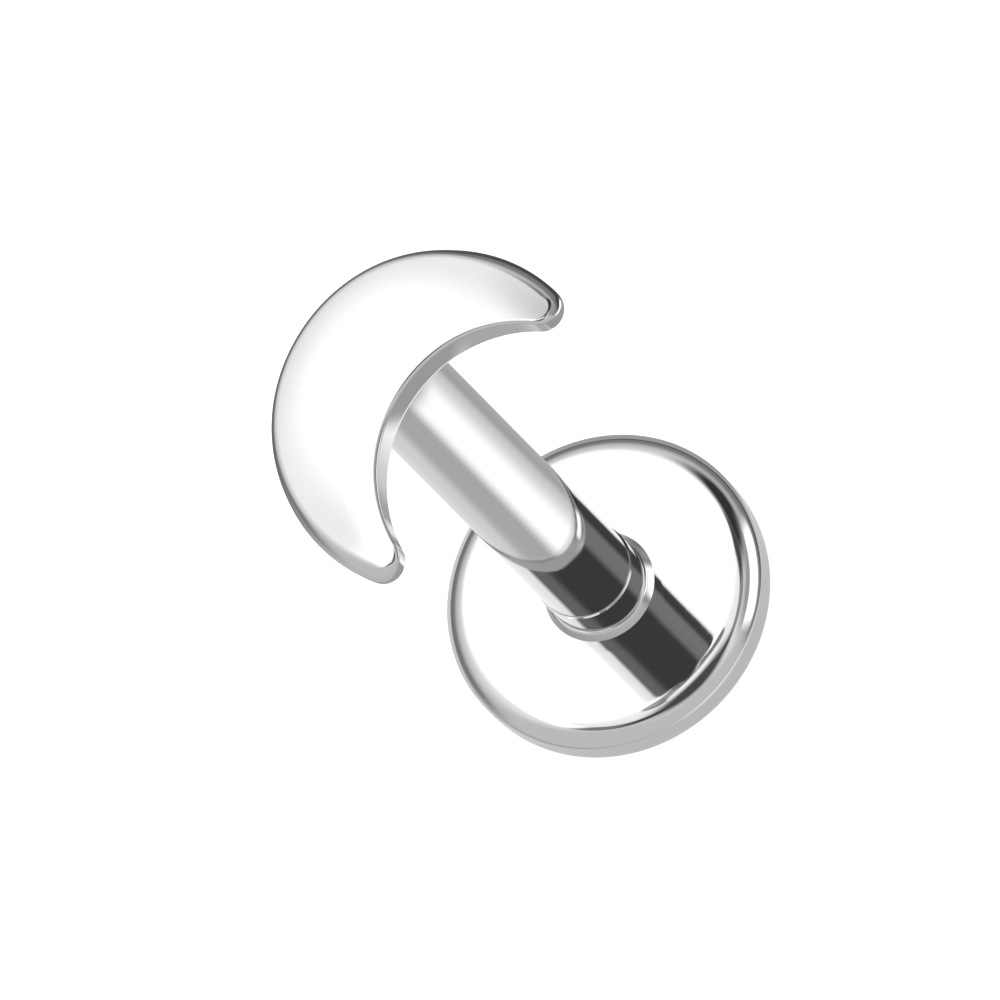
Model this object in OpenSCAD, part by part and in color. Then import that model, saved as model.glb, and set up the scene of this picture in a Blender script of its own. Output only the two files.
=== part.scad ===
// Labret stud: a flat disc with a straight post, and a small crescent that plugs into the post's end.
// Millimetres. The stud stands on its disc, with the post along +Z and the origin under the disc.

/* [Disc] */
// Diameter of the flat disc
disc_d = 4; // [3:0.1:6]
// Thickness of the disc
disc_t = 0.7; // [0.55:0.05:1.2]
// Rounding of the disc's upper edge
disc_top_r = 0.2; // [0.05:0.01:0.25]
// Rounding of the disc's lower edge
disc_low_r = 0.23; // [0.05:0.01:0.25]

/* [Post] */
// Diameter of the post, 16 gauge
post_d = 1.2; // [1:0.05:1.4]
// Length of the post between the disc and the crescent
post_len = 8.2; // [4:0.1:12]
// Wall of the post round its blind hole
post_wall = 0.17; // [0.12:0.01:0.25]
// Chamfer at the hole's mouth
bore_chamfer = 0.06; // [0.02:0.01:0.08]

/* [Collar] */
// How far the collar round the post's foot stands out from the post
collar_out = 0.105; // [0.05:0.005:0.3]
// Height above the disc at which the collar's lip is widest
collar_belly = 0.13; // [0.05:0.01:0.2]
// Radius of the lip's rounded side
lip_r = 0.2; // [0.15:0.01:0.3]
// Radius of the hollow curve between the lip and the post
cove_r = 0.29; // [0.2:0.01:0.4]
// Height above the disc of the middle of that curve
cove_rise = 0.375; // [0.35:0.005:0.45]
// How far that curve would cut into the post, which makes the fine crease between them
cove_dip = 0.01; // [0.005:0.001:0.02]

/* [Peg] */
// Length of the peg under the crescent
peg_len = 2; // [1:0.1:3]
// Clearance between the peg and its hole, on the radius
peg_gap = 0.03; // [0.02:0.005:0.06]
// Depth of the hole past the peg's tip
bore_spare = 0.3; // [0.1:0.05:0.6]
// Chamfer at the peg's tip
peg_chamfer = 0.12; // [0.05:0.01:0.15]
// Gap between the post's end and the crescent's underside
seat_gap = 0.02; // [0.01:0.005:0.05]

/* [Crescent] */
// Radius of the crescent's outer edge
moon_r = 2.08; // [1.9:0.01:2.6]
// Radius of the round bite that makes the horns
bite_r = 1.77; // [1.7:0.01:2]
// Distance from the outer edge's centre to the bite's centre
bite_shift = 1.36; // [1.25:0.01:1.5]
// Radius of the rounded horn tips
horn_r = 0.26; // [0.2:0.01:0.3]
// How far the tip's rounding runs past both edges, so that the arcs cross
horn_over = 0.004; // [0.002:0.001:0.01]
// Thickness of the plate
moon_t = 0.43; // [0.35:0.01:0.7]
// Height of the straight wall under the polished slope
rim_wall = 0.17; // [0.1:0.01:0.25]
// Width of the polished slope along the outer edge
rim_w = 0.5; // [0.35:0.01:0.7]
// Metal between the bite and the post's side, seen from above
bite_margin = 0.145; // [0.05:0.005:0.2]
// How far the peg stands beside the crescent's mirror line
peg_side = 0.24; // [0:0.01:0.3]

/* [Hidden] */
$fn = 96;

steel = [0.86, 0.86, 0.87];
polished_steel = [0.92, 0.92, 0.93];

disc_r = disc_d / 2;
post_r = post_d / 2;
post_top = disc_t + post_len;
bore_r = post_r - post_wall;
bore_depth = peg_len + bore_spare;
collar_r = post_r + collar_out;
peg_r = bore_r - peg_gap;
moon_z = post_top + seat_gap;
slope_rise = moon_t - rim_wall;
// The slope is an arc that is level at its inner end
slope_r = (pow(rim_w, 2) + pow(slope_rise, 2)) / (2 * slope_rise);

// A horn tip is a circle that touches the outer edge from inside and the bite from outside
horn_out = moon_r - horn_r;
horn_in = bite_r + horn_r;
horn_y = -(pow(horn_out, 2) - pow(horn_in, 2) + pow(bite_shift, 2)) / (2 * bite_shift);
horn_x = sqrt(pow(horn_out, 2) - pow(horn_y, 2));
horn = [horn_x, horn_y];
bite = [0, -bite_shift];
// The peg stands behind the outer edge's centre, where the post's side clears the bite
peg_back = sqrt(pow(bite_r + bite_margin + post_r, 2) - pow(peg_side, 2)) - bite_shift;
// How far the waste past a horn reaches, which is past everything
reach = 2 * moon_r;

// Half section of the disc, rounded above and below
module disc_section() {
    difference() {
        square([disc_r, disc_t]);
        corner_waste(disc_top_r, disc_t - disc_top_r, 1);
        corner_waste(disc_low_r, disc_low_r, -1);
    }
}

// What a rounding of radius r takes off the disc's rim, from height z upwards or downwards
module corner_waste(r, z, side) {
    difference() {
        translate([disc_r - r, side > 0 ? z : z - 2 * r])
            square([2 * r, 2 * r]);
        translate([disc_r - r, z])
            circle(r = r);
    }
}

// Half section of the collar: a rounded lip, hollowed above by the cove
module collar_section() {
    difference() {
        intersection() {
            square([2 * collar_r, collar_belly + lip_r]);
            translate([collar_r - lip_r, collar_belly])
                circle(r = lip_r);
        }
        translate([post_r + cove_r - cove_dip, cove_rise])
            circle(r = cove_r);
    }
}

// Disc, collar and post are turned from one bar, with a blind hole for the peg
module post_and_disc() {
    color(steel)
    difference() {
        union() {
            rotate_extrude()
                disc_section();
            translate([0, 0, disc_t])
                rotate_extrude()
                    collar_section();
            translate([0, 0, disc_t])
                cylinder(r = post_r, h = post_len);
        }
        translate([0, 0, post_top - bore_depth])
            cylinder(r = bore_r, h = bore_depth + seat_gap);
        translate([0, 0, post_top - bore_chamfer])
            cylinder(r1 = bore_r, r2 = bore_r + 2 * bore_chamfer, h = 2 * bore_chamfer);
    }
}

// Half section of the round blank: flat on top, sloping to a low wall at the edge
module blank_section() {
    square([moon_r - rim_w, moon_t]);
    square([moon_r, rim_wall]);
    intersection() {
        square([moon_r, moon_t]);
        translate([moon_r - rim_w, moon_t - slope_r])
            circle(r = slope_r);
    }
}

// What is cut away past the right horn, round its tip
module horn_waste() {
    to_edge = horn / horn_out;
    to_bite = (bite - horn) / horn_in;
    difference() {
        polygon([
            horn,
            horn + reach * to_edge,
            horn + reach * (to_edge + [0, -1]),
            horn + reach * [0, -1],
            horn + reach * to_bite
        ]);
        translate(horn)
            circle(r = horn_r + horn_over);
    }
}

// The crescent's plate, with its outer edge centred on the origin and its horns towards -Y
module crescent_plate() {
    difference() {
        rotate_extrude()
            blank_section();
        translate([0, 0, -moon_t])
            linear_extrude(3 * moon_t) {
                translate(bite)
                    circle(r = bite_r);
                horn_waste();
                mirror([1, 0])
                    horn_waste();
            }
    }
}

// Plain round peg that hangs under the plate into the post
module peg() {
    translate([0, 0, -peg_len])
        cylinder(r1 = peg_r - peg_chamfer, r2 = peg_r, h = peg_chamfer);
    translate([0, 0, peg_chamfer - peg_len])
        cylinder(r = peg_r, h = peg_len - peg_chamfer + moon_t / 2);
}

// The crescent and its soldered peg are one solid, with the peg on the post's axis
module crescent_top() {
    color(polished_steel)
    translate([0, 0, moon_z]) {
        translate([-peg_side, -peg_back, 0])
            crescent_plate();
        peg();
    }
}

post_and_disc();
crescent_top();
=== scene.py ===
# A labret stud with a crescent top, standing on its disc
import math

import bmesh
import bpy
from mathutils import Matrix, Vector


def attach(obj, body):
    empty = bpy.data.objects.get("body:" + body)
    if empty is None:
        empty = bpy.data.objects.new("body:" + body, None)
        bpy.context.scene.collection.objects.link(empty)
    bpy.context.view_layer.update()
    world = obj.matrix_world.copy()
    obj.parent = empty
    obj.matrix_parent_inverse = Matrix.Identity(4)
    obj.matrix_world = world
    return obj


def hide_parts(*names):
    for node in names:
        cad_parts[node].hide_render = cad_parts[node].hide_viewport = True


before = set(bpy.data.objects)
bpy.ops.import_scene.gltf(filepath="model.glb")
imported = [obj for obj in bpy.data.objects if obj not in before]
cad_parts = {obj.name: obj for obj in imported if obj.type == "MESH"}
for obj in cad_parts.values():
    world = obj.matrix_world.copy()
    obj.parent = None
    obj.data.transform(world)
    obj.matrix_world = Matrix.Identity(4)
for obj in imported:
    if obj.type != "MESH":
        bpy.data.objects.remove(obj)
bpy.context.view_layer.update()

scene = bpy.context.scene
mm = 0.001  # shapes are drawn in millimetres and scaled to metres at the end
weld = 0.00005  # mm, vertices closer than this are one
creaseAngle = 18  # degrees, an edge that turns more than this stays crisp
support = 0.02  # mm from a rounding to the ring that keeps the flat beside it flat


def newPiece(name, bm, material, body, node):
    # doubles go first, then every face is turned outwards
    bmesh.ops.remove_doubles(bm, verts=bm.verts, dist=weld)
    bmesh.ops.recalc_face_normals(bm, faces=bm.faces)
    bmesh.ops.scale(bm, vec=(mm, mm, mm), verts=bm.verts)
    mesh = bpy.data.meshes.new(name)
    bm.to_mesh(mesh)
    bm.free()
    mesh.shade_smooth()
    mesh.set_sharp_from_angle(angle=math.radians(creaseAngle))
    mesh.materials.append(material)
    piece = bpy.data.objects.new(name, mesh)
    scene.collection.objects.link(piece)
    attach(piece, body)
    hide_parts(node)
    return piece


def linear(hexColour):
    # an sRGB hex colour as the linear values that the shader reads
    parts = [int(hexColour[i:i + 2], 16) / 255 for i in (1, 3, 5)]
    return [part / 12.92 if part <= 0.04045 else ((part + 0.055) / 1.055) ** 2.4 for part in parts] + [1]


def addNode(tree, kind, settings, inputs):
    # inputs are values, or the output of another node to link from
    node = tree.nodes.new(kind)
    for key, value in settings.items():
        setattr(node, key, value)
    for key, value in inputs.items():
        if isinstance(value, bpy.types.NodeSocket):
            tree.links.new(value, node.inputs[key])
        else:
            node.inputs[key].default_value = value
    return node


def newTree(owner):
    owner.use_nodes = True
    owner.node_tree.nodes.clear()
    return owner.node_tree


def calc(tree, operation, *values):
    return addNode(tree, "ShaderNodeMath", {"operation": operation}, dict(enumerate(values))).outputs[0]


def calcVector(tree, operation, *values):
    # gives a number for a length or a dot product, else a vector
    node = addNode(tree, "ShaderNodeVectorMath", {"operation": operation}, dict(enumerate(values)))
    return node.outputs["Value" if operation in ("LENGTH", "DOT_PRODUCT") else "Vector"]


def heightOf(tree, place):
    return addNode(tree, "ShaderNodeSeparateXYZ", {}, {0: place}).outputs["Z"]


def radiusOf(tree, place):
    # distance from the post's axis
    return calcVector(tree, "LENGTH", calcVector(tree, "MULTIPLY", place, (1, 1, 0)))


# Surgical stainless steel, turned and then buffed on a wheel: a bright neutral mirror that bends
# reflections very slightly, with hairlines left by the wheel that show only in a highlight
steel = {
    "colour": "#CDCDCE",
    "roughness": 0.035,
    "hairlineRoughness": 0.03,
    "hairlineWidth": 0.012,  # mm, the real ones are finer than the render can show
    "hairlineLength": 1.2,
    "hairlineGrain": {"Detail": 2, "Roughness": 0.6},
    "hairlineShare": (0.5, 0.8),  # of the noise, where a hairline begins and where it is full
    "waveSize": 0.7,  # mm, waviness left by the buffing wheel
    "waveHeight": 0.0007,
    "waveGrain": {"Detail": 1, "Roughness": 0.4},
    "turningPitch": 0.05,  # mm between turning marks, the real ones are finer
    "turningHeight": 0.00002,
    "turningGrain": {"Detail": 1},
}


def steelMaterial(name, p, turned):
    material = bpy.data.materials.new(name)
    tree = newTree(material)
    place = addNode(tree, "ShaderNodeTexCoord", {}, {}).outputs["Object"]
    stretch = p["hairlineWidth"] / p["hairlineLength"]
    if turned:
        # hairlines and turning marks run round the axis, so they are drawn over height and radius
        along = calc(tree, "SUBTRACT", heightOf(tree, place), radiusOf(tree, place))
        spread = addNode(tree, "ShaderNodeCombineXYZ", {}, {"X": along}).outputs[0]
        grain = calcVector(tree, "MULTIPLY_ADD", place, [stretch] * 3, spread)
    else:
        # the wheel ran along the crescent, from horn to horn
        grain = addNode(tree, "ShaderNodeMapping", {}, {"Vector": place, "Scale": (stretch, 1, 1)}).outputs[0]
    hairlines = addNode(tree, "ShaderNodeTexNoise", {}, {
        "Vector": grain, "Scale": 1 / (p["hairlineWidth"] * mm), **p["hairlineGrain"]})
    begin, full = p["hairlineShare"]
    rough = addNode(tree, "ShaderNodeMapRange", {}, {
        "Value": hairlines.outputs["Fac"], "From Min": begin, "From Max": full,
        "To Min": p["roughness"], "To Max": p["roughness"] + p["hairlineRoughness"]})
    waves = addNode(tree, "ShaderNodeTexNoise", {}, {
        "Vector": place, "Scale": 1 / (p["waveSize"] * mm), **p["waveGrain"]})
    bump = addNode(tree, "ShaderNodeBump", {}, {
        "Height": waves.outputs["Fac"], "Distance": p["waveHeight"] * mm, "Strength": 1})
    if turned:
        marks = addNode(tree, "ShaderNodeTexNoise", {"noise_dimensions": "1D"}, {
            "W": along, "Scale": 1 / (p["turningPitch"] * mm), **p["turningGrain"]})
        bump = addNode(tree, "ShaderNodeBump", {}, {
            "Height": marks.outputs["Fac"], "Distance": p["turningHeight"] * mm, "Strength": 1,
            "Normal": bump.outputs[0]})
    shader = addNode(tree, "ShaderNodeBsdfPrincipled", {}, {
        "Base Color": linear(p["colour"]), "Metallic": 1, "Roughness": rough.outputs[0],
        "Normal": bump.outputs[0]})
    addNode(tree, "ShaderNodeOutputMaterial", {}, {"Surface": shader.outputs[0]})
    return material


turnedSteel = steelMaterial("stainless_steel_turned_and_buffed", steel, True)
buffedSteel = steelMaterial("stainless_steel_buffed", steel, False)

# Disc, collar and post: one profile, drawn from the middle of the underside to the bottom of the hole,
# turned round Z
post = {
    "discRadius": 2.0,
    "discThickness": 0.7,
    "rimWidth": 0.33,  # the rim rolls over in a soft curve from the face, and meets the side at a fine edge
    "rimTurn": 58,
    "rimEdge": 0.008,
    "rimSteps": 24,
    "edgeSteps": 4,
    "lowRound": 0.23,
    "lowSteps": 16,
    "postRadius": 0.6,
    "postLength": 8.2,
    "lipRadius": 0.7,
    "lipSlope": 62,  # degrees that its side leans from the level
    "lipSide": 0.05,
    "lipRound": 0.045,
    "lipSteps": 8,
    "lipTop": 10,
    "neckHeight": 0.6,
    "neckStep": 0.006,
    "endRound": 0.03,
    "endSteps": 8,
    "boreRadius": 0.43,
    "boreDepth": 2.3,
    "boreChamfer": 0.06,
    "turnSteps": 192,
}


def lineTo(bm, vert, r, z):
    # a straight run of the profile to radius r and height z
    end = bmesh.ops.extrude_vert_indiv(bm, verts=[vert])["verts"][0]
    end.co = Vector((r, 0, z))
    return end


def arcTo(bm, vert, r, z, degrees, steps):
    # an arc of the profile round the point at radius r and height z, anticlockwise for positive degrees
    swept = bmesh.ops.spin(
        bm, geom=[vert], cent=(r, 0, z), axis=(0, -1, 0), angle=math.radians(degrees), steps=steps)
    return swept["geom_last"][0]


def discProfile(bm, p):
    low = p["discRadius"] - p["lowRound"]
    faceZ = p["discThickness"]
    face = p["discRadius"] - p["rimWidth"]
    turn = math.radians(p["rimTurn"])
    roll = (p["rimWidth"] - p["rimEdge"] * (1 - math.sin(turn))) / math.sin(turn)
    sideZ = faceZ - roll * (1 - math.cos(turn)) - p["rimEdge"] * math.cos(turn)
    end = bm.verts.new((0, 0, 0))
    end = lineTo(bm, end, low - support, 0)
    end = lineTo(bm, end, low, 0)
    end = arcTo(bm, end, low, p["lowRound"], 90, p["lowSteps"])
    end = lineTo(bm, end, p["discRadius"], p["lowRound"] + support)
    end = lineTo(bm, end, p["discRadius"], sideZ - support)
    end = lineTo(bm, end, p["discRadius"], sideZ)
    end = arcTo(bm, end, p["discRadius"] - p["rimEdge"], sideZ, 90 - p["rimTurn"], p["edgeSteps"])
    end = arcTo(bm, end, face, faceZ - roll, p["rimTurn"], p["rimSteps"])
    return lineTo(bm, end, face - support, end.co.z)


def collarProfile(bm, end, p):
    # a low lip with a leaning side round the foot, then a short plain neck that steps in to the post
    faceZ = end.co.z
    slope, top = math.radians(p["lipSlope"]), math.radians(p["lipTop"])
    side = p["lipRadius"] - p["lipSide"]
    sideZ = faceZ + p["lipSide"] * math.tan(slope)
    end = lineTo(bm, end, p["lipRadius"] + support, faceZ)
    end = lineTo(bm, end, p["lipRadius"], faceZ)
    end = lineTo(bm, end, side, sideZ)
    end = arcTo(
        bm, end, side - p["lipRound"] * math.sin(slope), sideZ - p["lipRound"] * math.cos(slope),
        p["lipSlope"] - p["lipTop"], p["lipSteps"])
    neck = end.co.x
    end = lineTo(bm, end, neck, end.co.z + support)
    end = lineTo(bm, end, neck, faceZ + p["neckHeight"] - p["neckStep"])
    end = lineTo(bm, end, p["postRadius"], faceZ + p["neckHeight"])
    return lineTo(bm, end, p["postRadius"], faceZ + p["neckHeight"] + support)


def endProfile(bm, end, p):
    # the post's rounded end and the blind hole for the peg
    endZ = p["discThickness"] + p["postLength"]
    flat = p["postRadius"] - p["endRound"]
    end = lineTo(bm, end, p["postRadius"], endZ - p["endRound"] - support)
    end = lineTo(bm, end, p["postRadius"], endZ - p["endRound"])
    end = arcTo(bm, end, flat, endZ - p["endRound"], 90, p["endSteps"])
    end = lineTo(bm, end, p["boreRadius"] + p["boreChamfer"], endZ)
    end = lineTo(bm, end, p["boreRadius"], endZ - p["boreChamfer"])
    end = lineTo(bm, end, p["boreRadius"], endZ - p["boreDepth"])
    return lineTo(bm, end, 0, endZ - p["boreDepth"])


def turnedPost(p):
    bm = bmesh.new()
    end = discProfile(bm, p)
    end = collarProfile(bm, end, p)
    endProfile(bm, end, p)
    bmesh.ops.spin(
        bm, geom=bm.verts[:] + bm.edges[:], cent=(0, 0, 0), axis=(0, 0, 1),
        angle=math.tau, steps=p["turnSteps"], use_merge=True)
    return bm


postPiece = newPiece("labret_post", turnedPost(post), turnedSteel, "post", "post_and_disc")
print("post done:", len(postPiece.data.polygons), "faces")

# Crescent: half of its top is a grid bent between the outer edge and the bite, then mirrored
crescent = {
    "underside": 8.92,
    "outerRadius": 2.1215,
    "biteRadius": 1.7757,
    "biteShift": 1.3064,
    "tipRadius": 0.2706,
    "thickness": 0.43,
    "slopeWidth": 1.2,  # the top slopes down over this width to the outer edge
    "slopeDrop": 0.14,
    "slopeLess": 0.7,  # share of that drop which the horns are without
    "hornDrop": 0.15,  # and it falls away from the middle to the horns by this much
    "hornPower": 4,  # the higher, the nearer to the horns it falls
    "outerRound": 0.08,
    "hornRound": 0.22,
    "biteRound": 0.045,
    "lowRound": 0.03,
    "edgeLeft": 0.1,  # height of the wall that the rounding leaves at least
    "narrow": 0.978,  # the real outline is a little narrower than the arcs, and leans a little to one side
    "skew": 0.045,
    "turn": -2.67,
    "shift": (-0.035, -0.044, 0),
    "alongSteps": 120,
    "acrossSteps": 60,
    "roundSteps": 10,
    "roundShare": 0.3,  # share of a row's width that each rounding takes at most
    "tipShare": 0.22,  # share of the columns that go round the tip
    "pegRadius": 0.4,
    "pegLength": 2.0,
    "pegChamfer": 0.12,
    "pegSteps": 96,
    "pegBack": 1.1435,
    "pegSide": 0.24,
}


def onCircle(centre, radius, degrees):
    a = math.radians(degrees)
    return centre + radius * Vector((math.cos(a), math.sin(a)))


def bearing(v):
    return math.degrees(math.atan2(v.y, v.x))


def crescentPlan(p):
    # seen from above, with the outer edge centred on the origin and the horns towards -Y
    toHorn = p["outerRadius"] - p["tipRadius"]
    biteToHorn = p["biteRadius"] + p["tipRadius"]
    hornY = -(toHorn ** 2 - biteToHorn ** 2 + p["biteShift"] ** 2) / (2 * p["biteShift"])
    bite = Vector((0, -p["biteShift"]))
    horn = Vector((math.sqrt(toHorn ** 2 - hornY ** 2), hornY))
    outerEnd = bearing(horn)
    biteEnd = bearing(horn - bite)
    tip = (outerEnd + biteEnd - 180) / 2
    return {"bite": bite, "horn": horn, "outerEnd": outerEnd, "biteEnd": biteEnd, "tip": tip}


def outerEdge(p, plan, share):
    main = 1 - p["tipShare"]
    if share < main:
        return onCircle(Vector((0, 0)), p["outerRadius"], 90 + (plan["outerEnd"] - 90) * share / main)
    part = (share - main) / p["tipShare"]
    return onCircle(plan["horn"], p["tipRadius"], plan["outerEnd"] + (plan["tip"] - plan["outerEnd"]) * part)


def biteEdge(p, plan, share):
    main = 1 - p["tipShare"]
    if share < main:
        return onCircle(plan["bite"], p["biteRadius"], 90 + (plan["biteEnd"] - 90) * share / main)
    part = (share - main) / p["tipShare"]
    start = plan["biteEnd"] - 180
    return onCircle(plan["horn"], p["tipRadius"], start + (plan["tip"] - start) * part)


def outline(p, plan, at):
    # distance from a point to the nearest edge, and the way out of the metal there
    fromHorn = at - plan["horn"]
    if plan["biteEnd"] - 180 < bearing(fromHorn) < plan["outerEnd"]:
        return p["tipRadius"] - fromHorn.length, fromHorn.normalized()
    fromOuter = p["outerRadius"] - at.length
    toBite = (at - plan["bite"]).length - p["biteRadius"]
    if fromOuter < toBite:
        return fromOuter, at.normalized()
    return toBite, (plan["bite"] - at).normalized()


def hornward(p, at):
    # none in the middle of the crescent, one at its widest
    return (at.x / p["outerRadius"]) ** p["hornPower"]


def edgeRound(p, plan, at):
    # the top's rounding is wide along the outer edge and tight along the bite, and changes over round the tip
    outerRound = p["outerRound"] + (p["hornRound"] - p["outerRound"]) * hornward(p, at)
    fromHorn = bearing(at - plan["horn"])
    if plan["biteEnd"] - 180 < fromHorn < plan["outerEnd"]:
        part = (fromHorn - plan["outerEnd"]) / (plan["biteEnd"] - 180 - plan["outerEnd"])
        return outerRound + (p["biteRound"] - outerRound) * part
    toBite = (at - plan["bite"]).length - p["biteRadius"]
    return outerRound if p["outerRadius"] - at.length < toBite else p["biteRound"]


def topHeight(p, plan, at):
    share = hornward(p, at)
    fromOuter = max(p["outerRadius"] - at.length, 0)
    slope = max(1 - fromOuter / p["slopeWidth"], 0) ** 2 * (1 - p["slopeLess"] * share)
    z = p["thickness"] - p["slopeDrop"] * slope - p["hornDrop"] * share
    width = edgeRound(p, plan, at)
    inside = 1 - max(outline(p, plan, at)[0], 0) / width
    if inside > 0:
        z -= min(width, z - p["edgeLeft"]) * (1 - math.sqrt(1 - inside ** 2))
    return z


def rowShare(p, row, width):
    # how far across a row lies, with close rows in the rounding of both edges
    if width < weld:
        return 0
    rounding = min(p["outerRound"], width * p["roundShare"])
    fromEnd = min(row, p["acrossSteps"] - row)
    if fromEnd <= p["roundSteps"]:
        distance = rounding * (1 - math.cos(math.pi / 2 * fromEnd / p["roundSteps"]))
    else:
        rows = p["acrossSteps"] - 2 * p["roundSteps"]
        distance = rounding + (width - 2 * rounding) * (fromEnd - p["roundSteps"]) / rows
    share = distance / width
    return share if row == fromEnd else 1 - share


def crescentTop(bm, p, plan):
    # the grid is one unit wide, so that places on it are shares
    bmesh.ops.create_grid(bm, x_segments=p["alongSteps"], y_segments=p["acrossSteps"], size=0.5)
    for vert in bm.verts:
        along = vert.co.x + 0.5
        row = round((vert.co.y + 0.5) * p["acrossSteps"])
        outer = outerEdge(p, plan, along)
        bite = biteEdge(p, plan, along)
        at = outer.lerp(bite, rowShare(p, row, (bite - outer).length))
        vert.co = Vector((at.x, at.y, topHeight(p, plan, at)))
    bmesh.ops.remove_doubles(bm, verts=bm.verts, dist=weld)
    half = bm.verts[:] + bm.edges[:] + bm.faces[:]
    bmesh.ops.mirror(bm, geom=half, axis="X", merge_dist=weld)


def drawOut(bm, edges):
    # a new ring of edges from a ring, still in the same place
    made = bmesh.ops.extrude_edge_only(bm, edges=edges)["geom"]
    verts = [item for item in made if isinstance(item, bmesh.types.BMVert)]
    ring = [item for item in made if isinstance(item, bmesh.types.BMEdge) and item.is_boundary]
    return verts, ring


def crescentWall(bm, p, plan):
    # the wall goes straight down from the top's edge, then turns in under it
    verts, ring = drawOut(bm, [edge for edge in bm.edges if edge.is_boundary])
    bmesh.ops.translate(bm, verts=verts, vec=(0, 0, -support))
    steps = [(0, p["lowRound"] + support)]
    for step in range(p["roundSteps"] + 1):
        a = math.pi / 2 * step / p["roundSteps"]
        steps.append((p["lowRound"] * (1 - math.cos(a)), p["lowRound"] * (1 - math.sin(a))))
    steps.append((p["lowRound"] + support, 0))
    before = 0
    for inset, z in steps:
        verts, ring = drawOut(bm, ring)
        for vert in verts:
            side = math.copysign(1, vert.co.x)
            out = outline(p, plan, Vector((abs(vert.co.x), vert.co.y)))[1] * (inset - before)
            vert.co = Vector((vert.co.x - side * out.x, vert.co.y - out.y, z))
        before = inset
    return ring


def crescentPeg(bm, p, lowRing):
    # the underside is filled round a circle, which is then drawn down into the peg
    place = Vector((p["pegSide"], p["pegBack"], 0))
    circle = bmesh.ops.create_circle(bm, cap_ends=False, radius=p["pegRadius"], segments=p["pegSteps"])
    verts = circle["verts"]
    bmesh.ops.translate(bm, verts=verts, vec=place)
    ring = list({edge for vert in verts for edge in vert.link_edges})
    bmesh.ops.triangle_fill(bm, use_beauty=True, use_dissolve=False, edges=lowRing + ring)
    tipRadius = p["pegRadius"] - p["pegChamfer"]
    for radius, z in ((p["pegRadius"], p["pegChamfer"] - p["pegLength"]), (tipRadius, -p["pegLength"])):
        verts, ring = drawOut(bm, ring)
        for vert in verts:
            side = (vert.co - place).xy.normalized() * radius
            vert.co = Vector((place.x + side.x, place.y + side.y, z))
    bmesh.ops.contextual_create(bm, geom=ring)


def crescentPlate(p):
    plan = crescentPlan(p)
    bm = bmesh.new()
    crescentTop(bm, p, plan)
    lowRing = crescentWall(bm, p, plan)
    skewed = Matrix(((p["narrow"], 0, 0), (p["skew"] * p["narrow"], 1, 0), (0, 0, 1)))
    turned = Matrix.Rotation(math.radians(p["turn"]), 3, "Z") @ skewed
    bmesh.ops.transform(bm, matrix=turned.to_4x4(), verts=bm.verts)
    bmesh.ops.translate(bm, vec=p["shift"], verts=bm.verts)
    crescentPeg(bm, p, lowRing)
    bmesh.ops.translate(bm, verts=bm.verts, vec=(-p["pegSide"], -p["pegBack"], p["underside"]))
    return bm


crescentPiece = newPiece("crescent", crescentPlate(crescent), buffedSteel, "crescent", "crescent_top")
print("crescent done:", len(crescentPiece.data.polygons), "faces")

# Camera: a long lens at the photo's angle to the stud, turned so that the post runs to the lower right
camera = {
    "azimuth": -14.8,
    "elevation": 62.5,
    "roll": 44.73,
    "pixelsPerMm": 83.2,
    "imageSize": 1000,
    "lens": 1600,
    "sensor": 36,
    "clip": (0.01, 10),  # metres
    "faceCentre": (0, 0, 0.7),
    "facePixel": (599.2, 586.6),
}


def addCamera(p):
    a, e, roll = (math.radians(p[key]) for key in ("azimuth", "elevation", "roll"))
    back = Vector((math.sin(a) * math.cos(e), -math.cos(a) * math.cos(e), math.sin(e)))
    level = Vector((math.cos(a), math.sin(a), 0))
    upright = back.cross(level)
    right = level * math.cos(roll) - upright * math.sin(roll)
    up = level * math.sin(roll) + upright * math.cos(roll)
    width = p["imageSize"] / p["pixelsPerMm"]
    aside = (p["facePixel"][0] - p["imageSize"] / 2) / p["pixelsPerMm"]
    below = (p["facePixel"][1] - p["imageSize"] / 2) / p["pixelsPerMm"]
    target = Vector(p["faceCentre"]) - right * aside + up * below
    data = bpy.data.cameras.new("camera")
    data.lens = p["lens"]
    data.sensor_width = p["sensor"]
    data.clip_start, data.clip_end = p["clip"]
    ob = bpy.data.objects.new("camera", data)
    turn = Matrix((right, up, back)).transposed().to_4x4()
    ob.matrix_world = Matrix.Translation((target + back * width * p["lens"] / p["sensor"]) * mm) @ turn
    scene.collection.objects.link(ob)
    scene.camera = ob


addCamera(camera)

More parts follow.
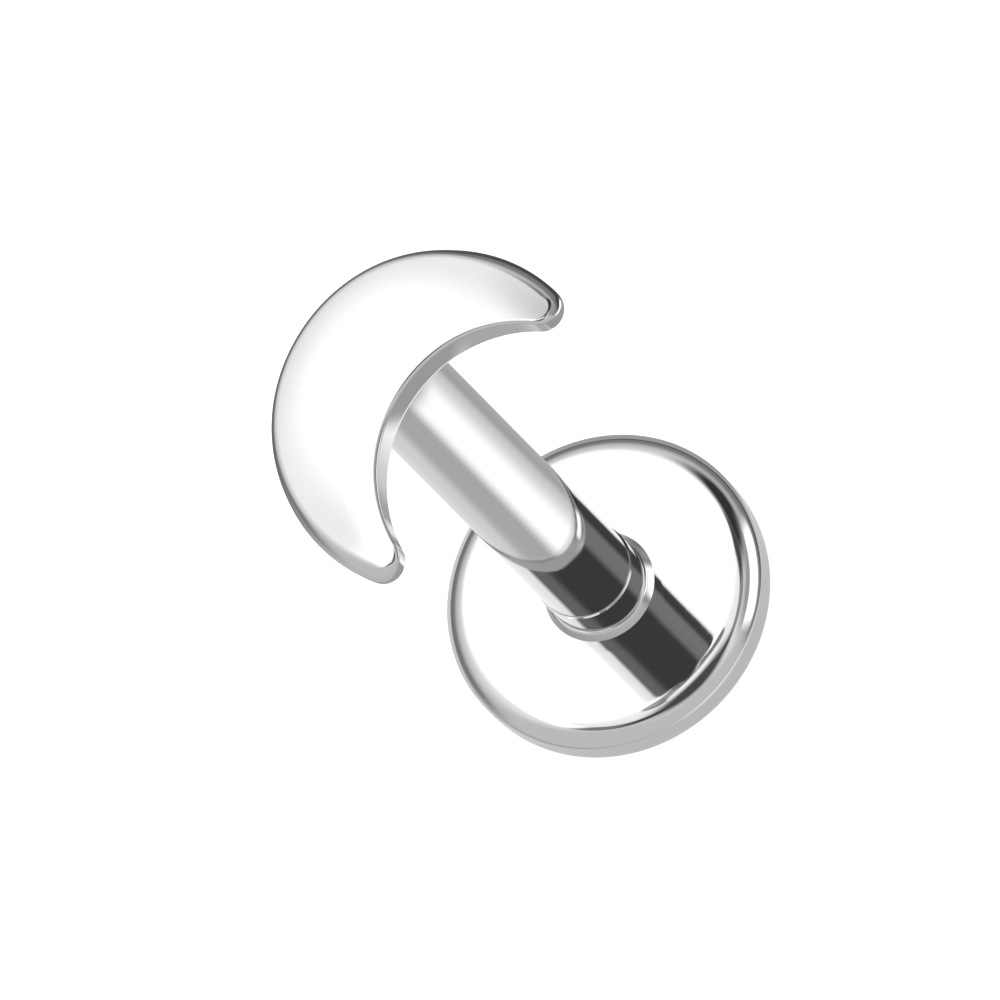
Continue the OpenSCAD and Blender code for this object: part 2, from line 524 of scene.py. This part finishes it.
# Studio: a pale lit table and a white sky that darkens towards the horizon, with soft patches in it.
# Azimuths are from the camera's side, positive to its right
studio = {
    "skyByHeight": ((-90, 0.25), (10, 0.3), (25, 0.8), (50, 1.2), (90, 1.4)),
    "skyScale": 2.0,
    # azimuth, elevation, and the angles at which the patch is full and gone, then its brightness
    "patches": {
        "overheadBack": (180, 60, 5, 30, 1.9),
        "greyLeft": (-65, 15, 35, 60, 0.8),
        "greyFront": (0, 10, 25, 45, 0.8),
        "darkRight": (115, 45, 10, 25, 0.05),
        "greyRight": (70, 30, 15, 35, 0.5),
        "behindCamera": (0, 65, 10, 25, 0.1),
    },
    # a ring of the sky which the foot of the post mirrors by way of the disc: bright, with a long dark flag
    # that has a dim gap on the right. A wedge is its azimuth, the angles at which it is full and gone, and
    # its brightness
    "band": {"level": 1.8, "wedges": {
        "darkFlag": (20, 110, 125, 0.1),
        "dimLeft": (-80, 5, 30, 0.3),
        "gapRight": (70, 15, 35, 0.4),
    }},
    "bandElevation": camera["elevation"],
    "bandEdges": (3, 6),
    "backdrop": 1.1,
    "tableRadius": 100,
    "tableSteps": 96,
    "tableGlow": 0.72,
    "tableColour": "#E4E4E4",
    "tableRoughness": 0.9,
    "reflectorDepth": 0.01,  # mm under the table
    # the table as the steel mirrors it, a glow that only reflections see: painted shade, even round the foot
    # in place of a contact shadow, then three rings of painted reflection with soft wedges
    "paintedShadeAtFoot": 0.75,
    "nearRing": {"level": 0.9, "wedges": {
        "paintedLampReflectionFront": (10, 20, 70, 1.6),
        "greyLeft": (-45, 15, 45, 0.6),
        "greyRight": (130, 25, 55, 0.5),
    }},
    "middleRing": {"level": 0.5, "wedges": {}},
    "farRing": {"level": 0.2, "wedges": {
        "greyFront": (-35, 60, 110, 0.75),
        "darkRight": (110, 20, 60, 0.1),
    }},
    # mm from the post at which one ring fades into the next
    "fades": ((2.22, 2.34), (4.9, 5.3), (7, 9)),
}
# Cards that only the steel sees, each a part of a cone round the post: azimuth of its middle and half its
# spread in degrees, radius and height in mm of its two edges, how wide it fades as shares, and its brightness
cards = {
    "softbox_right": {
        "azimuth": 64, "spread": 30, "steps": 24, "low": (8.2, 1), "high": (8.2, 6), "fade": (0.25, 0.25),
        "level": 2.6},
}


def bearingOf(azimuth):
    # world angle round Z of an azimuth from the camera's side
    return math.radians(camera["azimuth"] - 90 + azimuth)


def wayTo(azimuth, elevation):
    a, e = bearingOf(azimuth), math.radians(elevation)
    return (math.cos(a) * math.cos(e), math.sin(a) * math.cos(e), math.sin(e))


def addCurve(tree, value, low, high, points, scale):
    # a colour ramp over low..high whose grey is the brightness divided by scale
    place = addNode(tree, "ShaderNodeMapRange", {}, {"Value": value, "From Min": low, "From Max": high})
    ramp = addNode(tree, "ShaderNodeValToRGB", {}, {0: place.outputs[0]})
    stops = ramp.color_ramp.elements
    while len(stops) > 1:
        stops.remove(stops[-1])
    for i, (at, level) in enumerate(points):
        stop = stops[0] if i == 0 else stops.new((at - low) / (high - low))
        stop.position = (at - low) / (high - low)
        stop.color = [level / scale] * 3 + [1]
    return calc(tree, "MULTIPLY", ramp.outputs[0], scale)


def softShare(tree, size, full, gone):
    # one up to the size full, softly down to none at the size gone
    return addNode(tree, "ShaderNodeMapRange", {"interpolation_type": "SMOOTHSTEP"}, {
        "Value": size, "From Min": full, "From Max": gone, "To Min": 1, "To Max": 0}).outputs[0]


def mix(tree, share, level, brightness):
    node = addNode(tree, "ShaderNodeMix", {"data_type": "FLOAT"}, {0: share, 2: level, 3: brightness})
    return node.outputs[0]


def layOver(tree, size, full, gone, level, brightness):
    # a patch of another brightness laid over a level
    return mix(tree, softShare(tree, size, full, gone), level, brightness)


def azimuthFrom(tree, place, azimuth):
    # angle round the post from an azimuth, up to half a turn either way
    turned = addNode(tree, "ShaderNodeMapping", {}, {
        "Vector": place, "Rotation": (0, 0, -bearingOf(azimuth))})
    parts = addNode(tree, "ShaderNodeSeparateXYZ", {}, {0: turned.outputs[0]})
    return calc(tree, "ARCTAN2", parts.outputs["Y"], parts.outputs["X"])


def layWedges(tree, place, p):
    # brightness by azimuth round the post
    level = p["level"]
    for azimuth, full, gone, brightness in p["wedges"].values():
        away = calc(tree, "ABSOLUTE", azimuthFrom(tree, place, azimuth))
        level = layOver(tree, away, math.radians(full), math.radians(gone), level, brightness)
    return level


def addWorld(p):
    world = bpy.data.worlds.new("studio")
    scene.world = world
    tree = newTree(world)
    way = addNode(tree, "ShaderNodeTexCoord", {}, {}).outputs["Generated"]
    height = heightOf(tree, way)
    steps = [(math.sin(math.radians(e)), level) for e, level in p["skyByHeight"]]
    level = addCurve(tree, height, -1, 1, steps, p["skyScale"])
    for azimuth, elevation, full, gone, brightness in p["patches"].values():
        away = calc(tree, "ARCCOSINE", calcVector(tree, "DOT_PRODUCT", way, wayTo(azimuth, elevation)))
        level = layOver(tree, away, math.radians(full), math.radians(gone), level, brightness)
    up = calc(tree, "ARCSINE", height)
    away = calc(tree, "ABSOLUTE", calc(tree, "SUBTRACT", up, math.radians(p["bandElevation"])))
    full, gone = p["bandEdges"]
    bandLevel = layWedges(tree, way, p["band"])
    level = layOver(tree, away, math.radians(full), math.radians(gone), level, bandLevel)
    # the backdrop behind the table is the same white as the table
    seen = addNode(tree, "ShaderNodeLightPath", {}, {}).outputs["Is Camera Ray"]
    shown = mix(tree, seen, level, p["backdrop"])
    glow = addNode(tree, "ShaderNodeBackground", {}, {"Color": (1, 1, 1, 1), "Strength": shown})
    addNode(tree, "ShaderNodeOutputWorld", {}, {"Surface": glow.outputs[0]})


def stageDisc(name, p, z, material):
    bm = bmesh.new()
    bmesh.ops.create_circle(bm, cap_ends=True, segments=p["tableSteps"], radius=p["tableRadius"] * mm)
    mesh = bpy.data.meshes.new(name)
    bm.to_mesh(mesh)
    bm.free()
    mesh.materials.append(material)
    ob = bpy.data.objects.new(name, mesh)
    ob.location.z = z * mm
    scene.collection.objects.link(ob)
    return ob


def tableMaterial(p):
    # opal glass lit from below: white, with a faint shadow right beside what stands on it
    material = bpy.data.materials.new("opal_glass_lit_from_below")
    tree = newTree(material)
    surface = addNode(tree, "ShaderNodeBsdfPrincipled", {}, {
        "Base Color": linear(p["tableColour"]), "Roughness": p["tableRoughness"], "Specular IOR Level": 0,
        "Emission Color": (1, 1, 1, 1), "Emission Strength": p["tableGlow"]})
    addNode(tree, "ShaderNodeOutputMaterial", {}, {"Surface": surface.outputs[0]})
    return material


def paintedReflectionMaterial(p):
    # what the steel mirrors from below, a glow that only reflections see: painted shade round the foot and a
    # painted reflection of the table with soft grey wedges
    material = bpy.data.materials.new("painted_table_reflection")
    tree = newTree(material)
    place = addNode(tree, "ShaderNodeTexCoord", {}, {}).outputs["Object"]
    distance = radiusOf(tree, place)
    # painted shade round the foot first, then the rings of painted reflection laid over it
    level = p["paintedShadeAtFoot"]
    for ring, (start, end) in zip(("nearRing", "middleRing", "farRing"), p["fades"]):
        level = layOver(tree, distance, start * mm, end * mm, layWedges(tree, place, p[ring]), level)
    glow = addNode(tree, "ShaderNodeEmission", {}, {"Strength": level})
    addNode(tree, "ShaderNodeOutputMaterial", {}, {"Surface": glow.outputs[0]})
    return material


def onlyMirrored(ob):
    ob.visible_camera = False
    ob.visible_diffuse = False
    ob.visible_shadow = False
    ob.visible_transmission = False


def cardMaterial(name, p):
    # an even glow that fades out towards the card's edges
    material = bpy.data.materials.new(name)
    tree = newTree(material)
    low, high = Vector(p["low"]) * mm, Vector(p["high"]) * mm
    way = (high - low) / (high - low).length_squared
    place = addNode(tree, "ShaderNodeTexCoord", {}, {}).outputs["Object"]
    section = addNode(tree, "ShaderNodeCombineXYZ", {}, {
        "X": radiusOf(tree, place), "Y": heightOf(tree, place)})
    across = calcVector(tree, "DOT_PRODUCT", section.outputs[0], (way.x, way.y, 0))
    fromMiddle = calc(tree, "SUBTRACT", across, low.dot(way) + 0.5)
    fromAzimuth = azimuthFrom(tree, place, p["azimuth"])
    shares = []
    for value, edge, fade in zip((fromAzimuth, fromMiddle), (math.radians(p["spread"]), 0.5), p["fade"]):
        shares.append(softShare(tree, calc(tree, "ABSOLUTE", value), edge * (1 - 2 * fade), edge))
    solid = calc(tree, "MULTIPLY", *shares)
    clear = addNode(tree, "ShaderNodeBsdfTransparent", {}, {})
    glow = addNode(tree, "ShaderNodeEmission", {}, {"Strength": p["level"]})
    mixed = addNode(tree, "ShaderNodeMixShader", {}, {0: solid, 1: clear.outputs[0], 2: glow.outputs[0]})
    addNode(tree, "ShaderNodeOutputMaterial", {}, {"Surface": mixed.outputs[0]})
    return material


def addCard(name, p):
    bm = bmesh.new()
    low = bm.verts.new((p["low"][0], 0, p["low"][1]))
    high = bm.verts.new((p["high"][0], 0, p["high"][1]))
    edge = bm.edges.new((low, high))
    spread = math.radians(p["spread"])
    toStart = Matrix.Rotation(bearingOf(p["azimuth"]) - spread, 3, "Z")
    bmesh.ops.rotate(bm, verts=[low, high], matrix=toStart)
    bmesh.ops.spin(
        bm, geom=[low, high, edge], cent=(0, 0, 0), axis=(0, 0, 1), angle=2 * spread, steps=p["steps"])
    bmesh.ops.scale(bm, vec=(mm, mm, mm), verts=bm.verts)
    mesh = bpy.data.meshes.new(name)
    bm.to_mesh(mesh)
    bm.free()
    mesh.materials.append(cardMaterial(name, p))
    ob = bpy.data.objects.new(name, mesh)
    scene.collection.objects.link(ob)
    onlyMirrored(ob)


addWorld(studio)
for name, card in cards.items():
    addCard(name, card)
table = stageDisc("table", studio, 0, tableMaterial(studio))
table.visible_glossy = False
# the painted reflection of the table: a glowing disc under it that only the steel mirrors, with painted shade
# round the foot
onlyMirrored(stageDisc("reflector", studio, -studio["reflectorDepth"], paintedReflectionMaterial(studio)))
scene.view_settings.view_transform = "Standard"
print("studio done")
